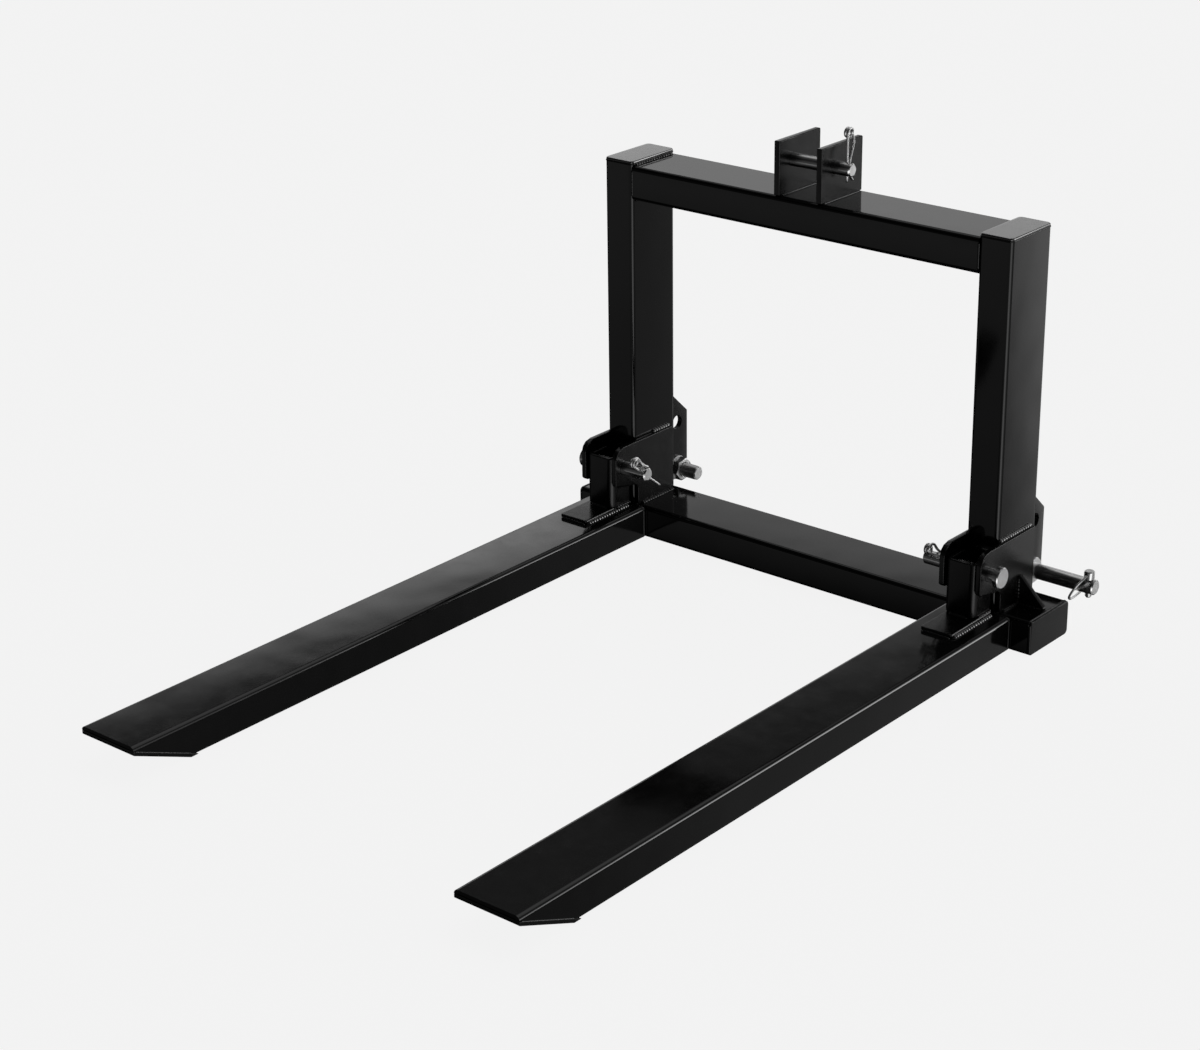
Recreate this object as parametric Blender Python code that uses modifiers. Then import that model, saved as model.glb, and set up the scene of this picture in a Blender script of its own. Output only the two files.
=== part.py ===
"""Fold-up pallet fork carrier for a category 1 three-point hitch.

World axes: forks point to -Y, the tractor stands at +Y, +Z is up. Left is -X and
right is +X, as seen from the fork tips. The origin is the middle of the base
beam's underside, on the floor plane z = 0. All lengths are metres.
"""

import math

import bmesh
import bpy
from mathutils import Vector

# ---------------------------------------------------------------- driving sizes
GAP = 0.0003                # air left between two pieces that touch

TUBE_W = 0.0508             # short side of the rectangular tube
TUBE_D = 0.100              # long side of the rectangular tube
FRONT_Y = -TUBE_D / 2       # front faces of the posts and beams
REAR_Y = TUBE_D / 2         # rear faces of the posts and beams
WALL = 0.005                # tube wall
TUBE_R = 0.0065             # outer corner radius of the tube

POST_X = 0.3215             # centre of a post
POST_TOP = 0.5800           # top of the post tube
CAP_T = 0.0042              # thickness of every tube end cap
TOP_BEAM_Z0 = 0.5271        # underside of the top beam
BASE_HALF = 0.4055          # half width over the base beam's end caps

PLATE_REAR_Y = 0.0350       # rear edge of the side plates
PLATE_T = 0.008             # thickness of the side plates, lugs and gussets
EAR_FRONT_Y = -0.1030       # how far the side plates reach in front of the posts
EAR_TOP_Z = 0.1545          # top edge of the side plates
EAR_LOW_Z = 0.0930          # underside of the side plate's forward ear

PIVOT_Y = -0.082            # fork pivot axis
PIVOT_Z = 0.121
PIVOT_R = 0.0100            # pivot pin radius
PIVOT_HOLE_R = 0.0104
PIVOT_HEAD_R = 0.0150
PIVOT_HEAD_T = 0.008
PIVOT_HEAD_X = 0.3580       # inner face of the pin head, pin pushed fully in
PIVOT_END_X = 0.2420        # inner end of the pin, pin pushed fully in
PIVOT_CLIP_X = 0.2535       # clip hole, pin pushed fully in
PIN_OUT_RIGHT = 0.0110      # the right pin stands this far out of its seat

FORK_X = 0.3238             # centre of a fork
FORK_TIP_Y = -1.0648        # front end of a fork
FORK_HEEL_Y = -0.0506       # rear end of a fork, against the base beam
TAPER_L = 0.0920            # length of the ramp under the tip
LIP_Z = 0.0390              # height of the underside at the front lip
PAD_T = 0.006               # doubler pad welded on the fork
PAD_Y0 = -0.1620
PAD_Y1 = -0.0590
BRACKET_Y0 = -0.1025        # front face of the hinge bracket's web
BRACKET_Y1 = -0.0590        # rear edges of its flanges
BRACKET_HALF = 0.0246       # half width over the flanges
BRACKET_T = 0.008
BRACKET_TOP_Z = 0.1375

LUG_REAR_Y = 0.1070         # rear edge of a hitch lug
HITCH_Y = 0.0790            # lower hitch pin axis
HITCH_Z = 0.0658
HITCH_R = 0.0110            # category 1 lower pin, 22 mm
HITCH_END_X = 0.4300
HITCH_INNER_X = 0.2730
LINCH_X = 0.4190            # linchpin hole in the hitch pin
LINCH_R = 0.00475
SPARE_Y = 0.0820            # upper spare hole in the lug
SPARE_Z = 0.1395

EAR_X = 0.0360              # centre of a top-link ear
EAR_T = 0.009
EAR_TOP = 0.6560
EAR_REAR_Y = 0.0480         # rear edge of a top-link ear
TOP_PIN_Y = -0.0170          # top-link pin axis
TOP_PIN_Z = 0.6245
TOP_PIN_R = 0.0095          # category 1 top-link pin, 19 mm
TOP_PIN_END = 0.0695
TOP_CLIP_X = 0.0600

CLIP_WIRE_R = 0.0019        # spring clip wire radius
CLIP_COIL_R = 0.0062        # mean radius of a clip's coil
CLIP_STEP = 0.0045          # one turn of the coil climbs this far, more than a wire
PIVOT_COIL_FAR = 0.0240     # pivot clip: coil centre from the pin's axis
PIVOT_LEG_TAIL = 0.0540     # pivot clip: straight leg past the pin's axis
TOP_COIL_FAR = 0.0500       # top-link clip: coil centre from the pin's axis
TOP_LEG_TAIL = 0.0190       # top-link clip: straight leg past the pin's axis
RING_WIRE_R = 0.0016        # linchpin ring wire radius
RING_R = 0.0240             # linchpin ring mean radius
RING_TILT = 30.0            # ring hangs this many degrees towards the lug

SEG = 28                    # facets round a pin or a hole

# Bent leg of a clip: (distance towards the coil, gap it leaves beside the pin).
SHALLOW_BEND = (
    (0.0420, 0.0080),
    (0.0350, 0.0098),
    (0.0270, 0.0078),
    (0.0185, 0.0040),
    (0.0110, 0.0010),
    (0.0035, 0.0),
    (-0.0035, 0.0),
    (-0.0100, 0.0012),
    (-0.0155, 0.0042),
    (-0.0195, 0.0080),
)
DEEP_BEND = (
    (0.0235, 0.0022),
    (0.0200, 0.0031),
    (0.0165, 0.0028),
    (0.0130, 0.0019),
    (0.0090, 0.0008),
    (0.0045, 0.0001),
    (0.0, 0.0),
    (-0.0045, 0.0001),
    (-0.0090, 0.0008),
    (-0.0130, 0.0020),
)


# ---------------------------------------------------------------- housekeeping
def clear_scene():
    for obj in list(bpy.data.objects):
        bpy.data.objects.remove(obj, do_unlink=True)


def new_collection(name):
    col = bpy.data.collections.new(name)
    bpy.context.scene.collection.children.link(col)
    return col


def new_material(name, colour, metallic, roughness):
    mat = bpy.data.materials.new(name)
    mat.use_nodes = True
    bsdf = mat.node_tree.nodes["Principled BSDF"]
    bsdf.inputs["Base Color"].default_value = (*colour, 1.0)
    bsdf.inputs["Metallic"].default_value = metallic
    bsdf.inputs["Roughness"].default_value = roughness
    return mat


clear_scene()
PARTS = new_collection("pallet_fork_attachment")
CUTTERS = new_collection("cutters")


def painted(name):
    return new_material(name + "_paint", (0.012, 0.012, 0.013), 0.0, 0.20)


def zinc(name):
    return new_material(name + "_zinc", (0.74, 0.75, 0.77), 1.0, 0.26)


def add_object(name, bm, finish, origin=(0.0, 0.0, 0.0), collection=None):
    """Turn a bmesh built in world metres into an object whose origin is `origin`."""
    bmesh.ops.recalc_face_normals(bm, faces=bm.faces[:])
    bmesh.ops.translate(bm, verts=bm.verts[:], vec=-Vector(origin))
    mesh = bpy.data.meshes.new(name)
    bm.to_mesh(mesh)
    bm.free()
    obj = bpy.data.objects.new(name, mesh)
    obj.location = origin
    (collection or PARTS).objects.link(obj)
    if finish is not None:
        mesh.materials.append(finish(name))
    return obj


def soften(obj, width, segments=1, angle=35.0):
    mod = obj.modifiers.new("soft_edges", "BEVEL")
    mod.width = width
    mod.segments = segments
    mod.limit_method = "ANGLE"
    mod.angle_limit = math.radians(angle)
    mod.harden_normals = False
    return mod


def cut(obj, cutter):
    cutter.hide_render = True
    cutter.display_type = "WIRE"
    mod = obj.modifiers.new("cut_" + cutter.name, "BOOLEAN")
    mod.operation = "DIFFERENCE"
    mod.solver = "EXACT"
    mod.object = cutter
    return mod


# ---------------------------------------------------------------- basic solids
def to_world(axis, u, v, w):
    """(u, v) lie in the section plane, w runs along the named axis."""
    if axis == "X":
        return (w, u, v)
    if axis == "Y":
        return (u, w, v)
    return (u, v, w)


def prism(outline, axis, w0, w1):
    """Solid with the closed outline [(u, v), ...] drawn from w0 to w1 along axis."""
    bm = bmesh.new()
    low = [bm.verts.new(to_world(axis, u, v, w0)) for u, v in outline]
    high = [bm.verts.new(to_world(axis, u, v, w1)) for u, v in outline]
    bm.faces.new(low)
    bm.faces.new(high)
    count = len(outline)
    for i in range(count):
        j = (i + 1) % count
        bm.faces.new((low[i], low[j], high[j], high[i]))
    return bm


def rounded_rect(u0, u1, v0, v1, radius, steps=4):
    corners = (
        (u1 - radius, v1 - radius, 0.0),
        (u0 + radius, v1 - radius, 90.0),
        (u0 + radius, v0 + radius, 180.0),
        (u1 - radius, v0 + radius, 270.0),
    )
    points = []
    for cu, cv, start in corners:
        for k in range(steps + 1):
            a = math.radians(start + 90.0 * k / steps)
            points.append((cu + radius * math.cos(a), cv + radius * math.sin(a)))
    return points


def tube(axis, u0, u1, v0, v1, w0, w1):
    """Open-ended rectangular tube with rounded corners inside and out."""
    outer = rounded_rect(u0, u1, v0, v1, TUBE_R)
    inner = rounded_rect(u0 + WALL, u1 - WALL, v0 + WALL, v1 - WALL, TUBE_R - WALL + 0.001)
    bm = bmesh.new()
    rings = []
    for outline, w in ((outer, w0), (outer, w1), (inner, w1), (inner, w0)):
        rings.append([bm.verts.new(to_world(axis, u, v, w)) for u, v in outline])
    count = len(outer)
    for r in range(4):
        a = rings[r]
        b = rings[(r + 1) % 4]
        for i in range(count):
            j = (i + 1) % count
            bm.faces.new((a[i], a[j], b[j], b[i]))
    return bm


def turned(axis, centre, profile, segments=SEG):
    """Solid of revolution; profile is [(position along axis, radius), ...]."""
    bm = bmesh.new()
    rings = []
    for w, radius in profile:
        ring = []
        for k in range(segments):
            a = 2.0 * math.pi * (k + 0.5) / segments
            u = centre[0] + radius * math.cos(a)
            v = centre[1] + radius * math.sin(a)
            ring.append(bm.verts.new(to_world(axis, u, v, w)))
        rings.append(ring)
    for a, b in zip(rings[:-1], rings[1:]):
        for i in range(segments):
            j = (i + 1) % segments
            bm.faces.new((a[i], a[j], b[j], b[i]))
    bm.faces.new(rings[0])
    bm.faces.new(rings[-1])
    return bm


def drill(name, axis, centre, w0, w1, radius, segments=SEG):
    bm = turned(axis, centre, [(w0, radius), (w1, radius)], segments)
    return add_object(name, bm, None, collection=CUTTERS)


def wire(path, radius, sides=6):
    """Round wire along a smooth list of points, flat at both ends."""
    bm = bmesh.new()
    points = [Vector(p) for p in path]
    count = len(points)
    tangents = []
    for i in range(count):
        a = points[max(i - 1, 0)]
        b = points[min(i + 1, count - 1)]
        tangents.append((b - a).normalized())
    normal = tangents[0].orthogonal().normalized()
    rings = []
    for i in range(count):
        t = tangents[i]
        normal = (normal - t * normal.dot(t)).normalized()
        side = t.cross(normal)
        ring = []
        for k in range(sides):
            a = 2.0 * math.pi * k / sides
            offset = normal * (radius * math.cos(a)) + side * (radius * math.sin(a))
            ring.append(bm.verts.new(points[i] + offset))
        rings.append(ring)
    for a, b in zip(rings[:-1], rings[1:]):
        for i in range(sides):
            j = (i + 1) % sides
            bm.faces.new((a[i], a[j], b[j], b[i]))
    bm.faces.new(rings[0])
    bm.faces.new(rings[-1])
    return bm


def mirrored(outline, side):
    """Outline given for +X, flipped for the left-hand copy."""
    return [(side * u, v) for u, v in outline]


def span(side, a, b):
    """Interval a..b of +X, mirrored for the left-hand copy and sorted."""
    return sorted((side * a, side * b))


def label(side):
    return "right" if side > 0 else "left"


# ---------------------------------------------------------------- welded frame
def post(side):
    x0, x1 = span(side, POST_X - TUBE_W / 2, POST_X + TUBE_W / 2)
    bm = tube("Z", x0, x1, FRONT_Y, REAR_Y, TUBE_W + GAP, POST_TOP)
    return add_object("post_" + label(side), bm, painted)


def post_cap(side):
    x0, x1 = span(side, POST_X - TUBE_W / 2, POST_X + TUBE_W / 2)
    outline = rounded_rect(x0, x1, FRONT_Y, REAR_Y, TUBE_R, 5)
    bm = prism(outline, "Z", POST_TOP + GAP, POST_TOP + GAP + CAP_T)
    obj = add_object("post_cap_" + label(side), bm, painted)
    soften(obj, 0.0010)
    return obj


def top_beam():
    half = POST_X - TUBE_W / 2 - GAP
    bm = tube("X", FRONT_Y, REAR_Y, TOP_BEAM_Z0, TOP_BEAM_Z0 + TUBE_W, -half, half)
    return add_object("top_beam", bm, painted)


def base_beam():
    half = BASE_HALF - CAP_T - GAP
    bm = tube("X", FRONT_Y, REAR_Y, 0.0, TUBE_W, -half, half)
    return add_object("base_beam", bm, painted)


def base_cap(side):
    x0, x1 = span(side, BASE_HALF - CAP_T, BASE_HALF)
    bm = prism(rounded_rect(FRONT_Y, REAR_Y, 0.0, TUBE_W, TUBE_R, 5), "X", x0, x1)
    obj = add_object("base_beam_cap_" + label(side), bm, painted)
    soften(obj, 0.0010)
    return obj


def side_plate(side, where):
    """Profile plate on a post: sits on the base beam, its ear carries the pivot pin."""
    if where == "outer":
        near = POST_X + TUBE_W / 2 + GAP
        x0, x1 = span(side, near, near + PLATE_T)
    else:
        near = POST_X - TUBE_W / 2 - GAP
        x0, x1 = span(side, near - PLATE_T, near)
    outline = [
        (FRONT_Y + 0.0004, TUBE_W + GAP),
        (PLATE_REAR_Y, TUBE_W + GAP),
        (PLATE_REAR_Y, EAR_TOP_Z),
        (EAR_FRONT_Y + 0.0200, EAR_TOP_Z),
        (EAR_FRONT_Y + 0.0090, EAR_TOP_Z - 0.0028),
        (EAR_FRONT_Y + 0.0028, EAR_TOP_Z - 0.0085),
        (EAR_FRONT_Y, EAR_TOP_Z - 0.0170),
        (EAR_FRONT_Y, EAR_LOW_Z + 0.0040),
        (EAR_FRONT_Y + 0.0040, EAR_LOW_Z),
        (FRONT_Y - 0.0070, EAR_LOW_Z - 0.0070),
        (FRONT_Y - 0.0016, EAR_LOW_Z - 0.0100),
        (FRONT_Y + 0.0004, EAR_LOW_Z - 0.0150),
    ]
    name = "side_plate_%s_%s" % (label(side), where)
    obj = add_object(name, prism(outline, "X", x0, x1), painted)
    hole = drill("bore_" + name, "X", (PIVOT_Y, PIVOT_Z), x0 - 0.01, x1 + 0.01, PIVOT_HOLE_R)
    soften(obj, 0.0009)
    cut(obj, hole)
    return obj


def gusset(side):
    """Small triangle between the outer side plate and the top of the base beam."""
    x0 = POST_X + TUBE_W / 2 + GAP + PLATE_T + GAP
    x1 = 0.3965
    z0 = TUBE_W + GAP
    z1 = 0.0925
    outline = [
        (x0 + 0.005, z0),
        (x1, z0),
        (x1, z0 + 0.003),
        (x0 + 0.003, z1),
        (x0, z1),
        (x0, z0 + 0.005),
    ]
    bm = prism(mirrored(outline, side), "Y", -PLATE_T / 2, PLATE_T / 2)
    obj = add_object("gusset_" + label(side), bm, painted)
    soften(obj, 0.0008)
    return obj


def hitch_lug(side):
    """Rear plate that holds the lower hitch pin, with a spare upper hole."""
    x0, x1 = span(side, POST_X - PLATE_T / 2, POST_X + PLATE_T / 2)
    y0 = REAR_Y + GAP
    outline = [
        (y0, 0.0460),
        (LUG_REAR_Y - 0.0200, 0.0460),
        (LUG_REAR_Y, 0.0640),
        (LUG_REAR_Y, 0.1530),
        (y0, 0.2060),
    ]
    name = "hitch_lug_" + label(side)
    obj = add_object(name, prism(outline, "X", x0, x1), painted)
    soften(obj, 0.0009)
    cut(obj, drill("bore_" + name, "X", (HITCH_Y, HITCH_Z), x0 - 0.01, x1 + 0.01, 0.0109))
    cut(obj, drill("spare_" + name, "X", (SPARE_Y, SPARE_Z), x0 - 0.01, x1 + 0.01, 0.0112))
    return obj


def top_ear(side):
    """One cheek of the top-link clevis, welded on the top beam."""
    x0, x1 = span(side, EAR_X - EAR_T / 2, EAR_X + EAR_T / 2)
    z0 = TOP_BEAM_Z0 + TUBE_W + GAP
    outline = rounded_rect(FRONT_Y + 0.0005, EAR_REAR_Y, z0, EAR_TOP, 0.0012, 2)
    name = "top_link_ear_" + label(side)
    obj = add_object(name, prism(outline, "X", x0, x1), painted)
    soften(obj, 0.0009)
    centre = (TOP_PIN_Y, TOP_PIN_Z)
    cut(obj, drill("bore_" + name, "X", centre, x0 - 0.01, x1 + 0.01, TOP_PIN_R + 0.0004))
    return obj


# ---------------------------------------------------------------- hitch pins
def hitch_pin(side):
    """Lower hitch pin: bare outer end, shoulder on the lug, threaded inner end."""
    face = POST_X + PLATE_T / 2 + GAP
    profile = [
        (side * HITCH_INNER_X, 0.0090),
        (side * (HITCH_INNER_X + 0.0015), 0.0105),
        (side * face, 0.0105),
        (side * face, 0.0190),
        (side * (face + 0.0050), 0.0190),
        (side * (face + 0.0060), 0.0180),
        (side * (face + 0.0060), HITCH_R),
        (side * (HITCH_END_X - 0.0015), HITCH_R),
        (side * HITCH_END_X, HITCH_R - 0.0015),
    ]
    centre = (HITCH_Y, HITCH_Z)
    name = "hitch_pin_" + label(side)
    obj = add_object(name, turned("X", centre, profile), zinc)
    across = (side * LINCH_X, HITCH_Y)
    cut(obj, drill("bore_" + name, "Z", across, HITCH_Z - 0.02, HITCH_Z + 0.02, 0.0051))
    return obj


def hitch_washer(side):
    x1 = POST_X - PLATE_T / 2 - GAP
    x0, x1 = span(side, x1 - 0.003, x1)
    name = "hitch_washer_" + label(side)
    obj = add_object(name, turned("X", (HITCH_Y, HITCH_Z), [(x0, 0.0190), (x1, 0.0190)]), zinc)
    cut(obj, drill("bore_" + name, "X", (HITCH_Y, HITCH_Z), x0 - 0.01, x1 + 0.01, 0.0109))
    return obj


def hitch_nut(side):
    x1 = POST_X - PLATE_T / 2 - GAP - 0.003 - GAP
    x0, x1 = span(side, x1 - 0.0130, x1)
    corner = 0.0160 / math.cos(math.radians(30.0))
    outline = []
    for k in range(6):
        a = math.radians(60.0 * k + 10.0)
        outline.append((HITCH_Y + corner * math.cos(a), HITCH_Z + corner * math.sin(a)))
    name = "hitch_nut_" + label(side)
    obj = add_object(name, prism(outline, "X", x0, x1), zinc)
    soften(obj, 0.0010)
    cut(obj, drill("bore_" + name, "X", (HITCH_Y, HITCH_Z), x0 - 0.01, x1 + 0.01, 0.0109))
    return obj


RING_PIVOT_Z = HITCH_Z + 0.0170     # axis of the ring in the linchpin head


def linchpin(side):
    """Short headed pin through the end of the hitch pin."""
    z0 = HITCH_Z - 0.0170
    profile = [
        (z0, 0.0030),
        (z0 + 0.0025, LINCH_R),
        (HITCH_Z + HITCH_R + GAP, LINCH_R),
        (HITCH_Z + HITCH_R + GAP, 0.0075),
        (RING_PIVOT_Z + 0.0045, 0.0075),
        (RING_PIVOT_Z + 0.0060, 0.0060),
    ]
    name = "linchpin_" + label(side)
    x = side * LINCH_X
    y0 = HITCH_Y - 0.02
    y1 = HITCH_Y + 0.02
    bm = turned("Z", (x, HITCH_Y), profile)
    obj = add_object(name, bm, zinc, (x, HITCH_Y, RING_PIVOT_Z))
    cut(obj, drill("bore_" + name, "Y", (x, RING_PIVOT_Z), y0, y1, RING_WIRE_R + 0.0004, 16))
    return obj


def linchpin_ring(side):
    """Spring wire ring, hinged in the head, hanging round the hitch pin."""
    tilt = math.radians(RING_TILT)
    down = Vector((-side * math.sin(tilt), 0.0, -math.cos(tilt)))
    pivot = Vector((side * LINCH_X, HITCH_Y, RING_PIVOT_Z))
    gap_angle = math.radians(27.0)
    path = []
    drop = RING_R * (1.0 - math.cos(gap_angle))
    for y in (-0.0030, -0.0055, -0.0072):
        path.append(pivot + Vector((0.0, y, 0.0)))
    path.append(pivot + Vector((0.0, -0.0088, 0.0)) + down * (drop * 0.35))
    steps = 30
    for k in range(steps + 1):
        a = gap_angle + (2.0 * math.pi - 2.0 * gap_angle) * k / steps
        offset = Vector((0.0, -RING_R * math.sin(a), 0.0)) + down * (RING_R * (1.0 - math.cos(a)))
        path.append(pivot + offset)
    path.append(pivot + Vector((0.0, 0.0088, 0.0)) + down * (drop * 0.35))
    for y in (0.0072, 0.0055, 0.0030):
        path.append(pivot + Vector((0.0, y, 0.0)))
    return add_object("linchpin_ring_" + label(side), wire(path, RING_WIRE_R), zinc, tuple(pivot))


# ---------------------------------------------------------------- headed pins and clips
def headed_pin(name, centre, side, x_end, x_clip, x_head, radius, leg):
    """Round pin along X, head on the `side` end, cross hole for its clip."""
    profile = [
        (x_end, radius - 0.0018),
        (x_end + side * 0.0018, radius),
        (x_head, radius),
        (x_head, PIVOT_HEAD_R),
        (x_head + side * (PIVOT_HEAD_T - 0.0012), PIVOT_HEAD_R),
        (x_head + side * PIVOT_HEAD_T, PIVOT_HEAD_R - 0.0012),
    ]
    obj = add_object(name, turned("X", centre, profile), zinc, (x_head, centre[0], centre[1]))
    middle = Vector((x_clip, centre[0], centre[1]))
    bm = wire([middle - leg * 0.03, middle + leg * 0.03], CLIP_WIRE_R + 0.0004, 16)
    cut(obj, add_object("bore_" + name, bm, None, collection=CUTTERS))
    return obj


def spring_clip(name, x, centre, leg, hug, radius, lean, far, tail, bend):
    """Hairpin clip: straight leg through the pin, bent leg hugging its flank.

    `leg` points from the pin centre to the coil, `hug` is the flank the bent leg
    runs along, `lean` is the small step along X that one turn of the coil takes.
    `far` is how far the coil stands off, `tail` how far the straight leg sticks out.
    """
    middle = Vector((x, centre[0], centre[1]))
    along = Vector((1.0, 0.0, 0.0))
    coil = CLIP_COIL_R
    near = radius + CLIP_WIRE_R + 0.0004
    path = []
    for s in (-tail, 0.0, far * 0.4, far * 0.8, far - 0.0030):
        path.append(middle + leg * s)
    top = middle + leg * far + hug * coil
    turn = 1.42
    steps = 22
    for k in range(steps + 1):
        a = math.pi + 2.0 * math.pi * turn * k / steps
        step = along * (lean * min(1.0, max(0.0, (k - 6) / 8.0)))
        path.append(top + hug * (coil * math.cos(a)) - leg * (coil * math.sin(a)) + step)
    shift = along * lean
    for s, gap in bend:
        path.append(middle + leg * s + hug * (near + gap) + shift)
    return add_object(name, wire(path, CLIP_WIRE_R, 8), zinc, tuple(middle))


def slanted(degrees):
    """Unit vector in the YZ plane, measured from +Y towards +Z."""
    a = math.radians(degrees)
    return Vector((0.0, math.cos(a), math.sin(a)))


def pivot_pin(side):
    out = PIN_OUT_RIGHT if side > 0 else 0.0
    centre = (PIVOT_Y, PIVOT_Z)
    leg = slanted(142.0)
    x_end = side * (PIVOT_END_X + out)
    x_clip = side * (PIVOT_CLIP_X + out)
    x_head = side * (PIVOT_HEAD_X + out)
    name = "pivot_pin_" + label(side)
    headed_pin(name, centre, side, x_end, x_clip, x_head, PIVOT_R, leg)
    hug = slanted(52.0)
    name = "pivot_clip_" + label(side)
    lean = side * CLIP_STEP
    far = PIVOT_COIL_FAR
    tail = PIVOT_LEG_TAIL
    spring_clip(name, x_clip, centre, leg, hug, PIVOT_R, lean, far, tail, DEEP_BEND)


def top_link_pin():
    centre = (TOP_PIN_Y, TOP_PIN_Z)
    leg = slanted(90.0)
    x_head = -(EAR_X + EAR_T / 2 + 0.0020)
    headed_pin("top_link_pin", centre, -1.0, TOP_PIN_END, TOP_CLIP_X, x_head, TOP_PIN_R, leg)
    hug = slanted(0.0)
    lean = -CLIP_STEP
    name = "top_link_clip"
    far = TOP_COIL_FAR
    tail = TOP_LEG_TAIL
    spring_clip(name, TOP_CLIP_X, centre, leg, hug, TOP_PIN_R, lean, far, tail, SHALLOW_BEND)


# ---------------------------------------------------------------- forks
def pivot_origin(side):
    return (side * FORK_X, PIVOT_Y, PIVOT_Z)


def fork_tube(side):
    x0, x1 = span(side, FORK_X - TUBE_D / 2, FORK_X + TUBE_D / 2)
    y1 = FORK_HEEL_Y - CAP_T - GAP
    bm = tube("Y", x0, x1, 0.0, TUBE_W, FORK_TIP_Y, y1)
    obj = add_object("fork_tube_" + label(side), bm, painted, pivot_origin(side))
    slope = LIP_Z / TAPER_L
    lift = (WALL + GAP) * math.hypot(1.0, slope)
    y_far = FORK_TIP_Y - 0.02
    y_near = FORK_TIP_Y + TAPER_L + 0.06
    line = [
        (y_far, LIP_Z + lift + slope * 0.02),
        (y_far, -0.05),
        (y_near, -0.05),
        (y_near, LIP_Z + lift - slope * (TAPER_L + 0.06)),
    ]
    bm = prism(line, "X", x0 - 0.01, x1 + 0.01)
    cut(obj, add_object("ramp_" + obj.name, bm, None, collection=CUTTERS))
    return obj


def fork_tip_plate(side):
    """Ramp plate that closes the cut underside of the tip."""
    x0, x1 = span(side, FORK_X - TUBE_D / 2, FORK_X + TUBE_D / 2)
    slope = LIP_Z / TAPER_L
    lift = WALL * math.hypot(1.0, slope)
    back = lift / slope
    outline = [
        (FORK_TIP_Y, LIP_Z),
        (FORK_TIP_Y + TAPER_L, 0.0),
        (FORK_TIP_Y + TAPER_L + back, 0.0),
        (FORK_TIP_Y, LIP_Z + lift),
    ]
    bm = prism(outline, "X", x0, x1)
    obj = add_object("fork_tip_plate_" + label(side), bm, painted, pivot_origin(side))
    soften(obj, 0.0006, 2, 50.0)
    return obj


def fork_heel_cap(side):
    x0, x1 = span(side, FORK_X - TUBE_D / 2, FORK_X + TUBE_D / 2)
    bm = prism(rounded_rect(x0, x1, 0.0, TUBE_W, TUBE_R, 5), "Y", FORK_HEEL_Y - CAP_T, FORK_HEEL_Y)
    obj = add_object("fork_heel_cap_" + label(side), bm, painted, pivot_origin(side))
    soften(obj, 0.0010)
    return obj


def fork_pad(side):
    """Doubler pad between the fork's top and the hinge bracket."""
    x0, x1 = span(side, FORK_X - 0.0250, FORK_X + 0.0250)
    z0 = TUBE_W + GAP
    bm = prism(rounded_rect(x0, x1, PAD_Y0, PAD_Y1, 0.004, 3), "Z", z0, z0 + PAD_T)
    obj = add_object("fork_pad_" + label(side), bm, painted, pivot_origin(side))
    soften(obj, 0.0012)
    return obj


def fork_bracket(side):
    """Folded U that hangs the fork on its pivot pin: front web and two flanges."""
    cx = POST_X
    r = 0.0100
    half = BRACKET_HALF
    t = BRACKET_T
    y0 = BRACKET_Y0
    y1 = BRACKET_Y1
    outline = [(-half, y1)]
    for k in range(6):
        a = math.radians(180.0 + 90.0 * k / 5)
        outline.append((-half + r + r * math.cos(a), y0 + r + r * math.sin(a)))
    for k in range(6):
        a = math.radians(270.0 + 90.0 * k / 5)
        outline.append((half - r + r * math.cos(a), y0 + r + r * math.sin(a)))
    outline.append((half, y1))
    outline.append((half - t, y1))
    ri = 0.0030
    for k in range(4):
        a = math.radians(0.0 - 90.0 * k / 3)
        outline.append((half - t - ri + ri * math.cos(a), y0 + t + ri + ri * math.sin(a)))
    for k in range(4):
        a = math.radians(270.0 - 90.0 * k / 3)
        outline.append((-half + t + ri + ri * math.cos(a), y0 + t + ri + ri * math.sin(a)))
    outline.append((-half + t, y1))
    shifted = [(side * cx + u, v) for u, v in outline]
    z0 = TUBE_W + GAP + PAD_T + GAP
    name = "fork_bracket_" + label(side)
    obj = add_object(name, prism(shifted, "Z", z0, BRACKET_TOP_Z), painted, pivot_origin(side))
    soften(obj, 0.0016, 1, 50.0)
    x0 = side * cx - 0.05
    x1 = side * cx + 0.05
    cut(obj, drill("bore_" + name, "X", (PIVOT_Y, PIVOT_Z), x0, x1, PIVOT_HOLE_R))
    return obj


# ---------------------------------------------------------------- assembly
def build():
    top_beam()
    base_beam()
    for side in (-1.0, 1.0):
        post(side)
        post_cap(side)
        base_cap(side)
        side_plate(side, "outer")
        side_plate(side, "inner")
        gusset(side)
        hitch_lug(side)
        top_ear(side)
        hitch_pin(side)
        hitch_washer(side)
        hitch_nut(side)
        linchpin(side)
        linchpin_ring(side)
        pivot_pin(side)
        fork_tube(side)
        fork_tip_plate(side)
        fork_heel_cap(side)
        fork_pad(side)
        fork_bracket(side)
    top_link_pin()


build()
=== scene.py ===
import math
import random

import bmesh
import bpy
from mathutils import Matrix, Vector, noise


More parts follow.
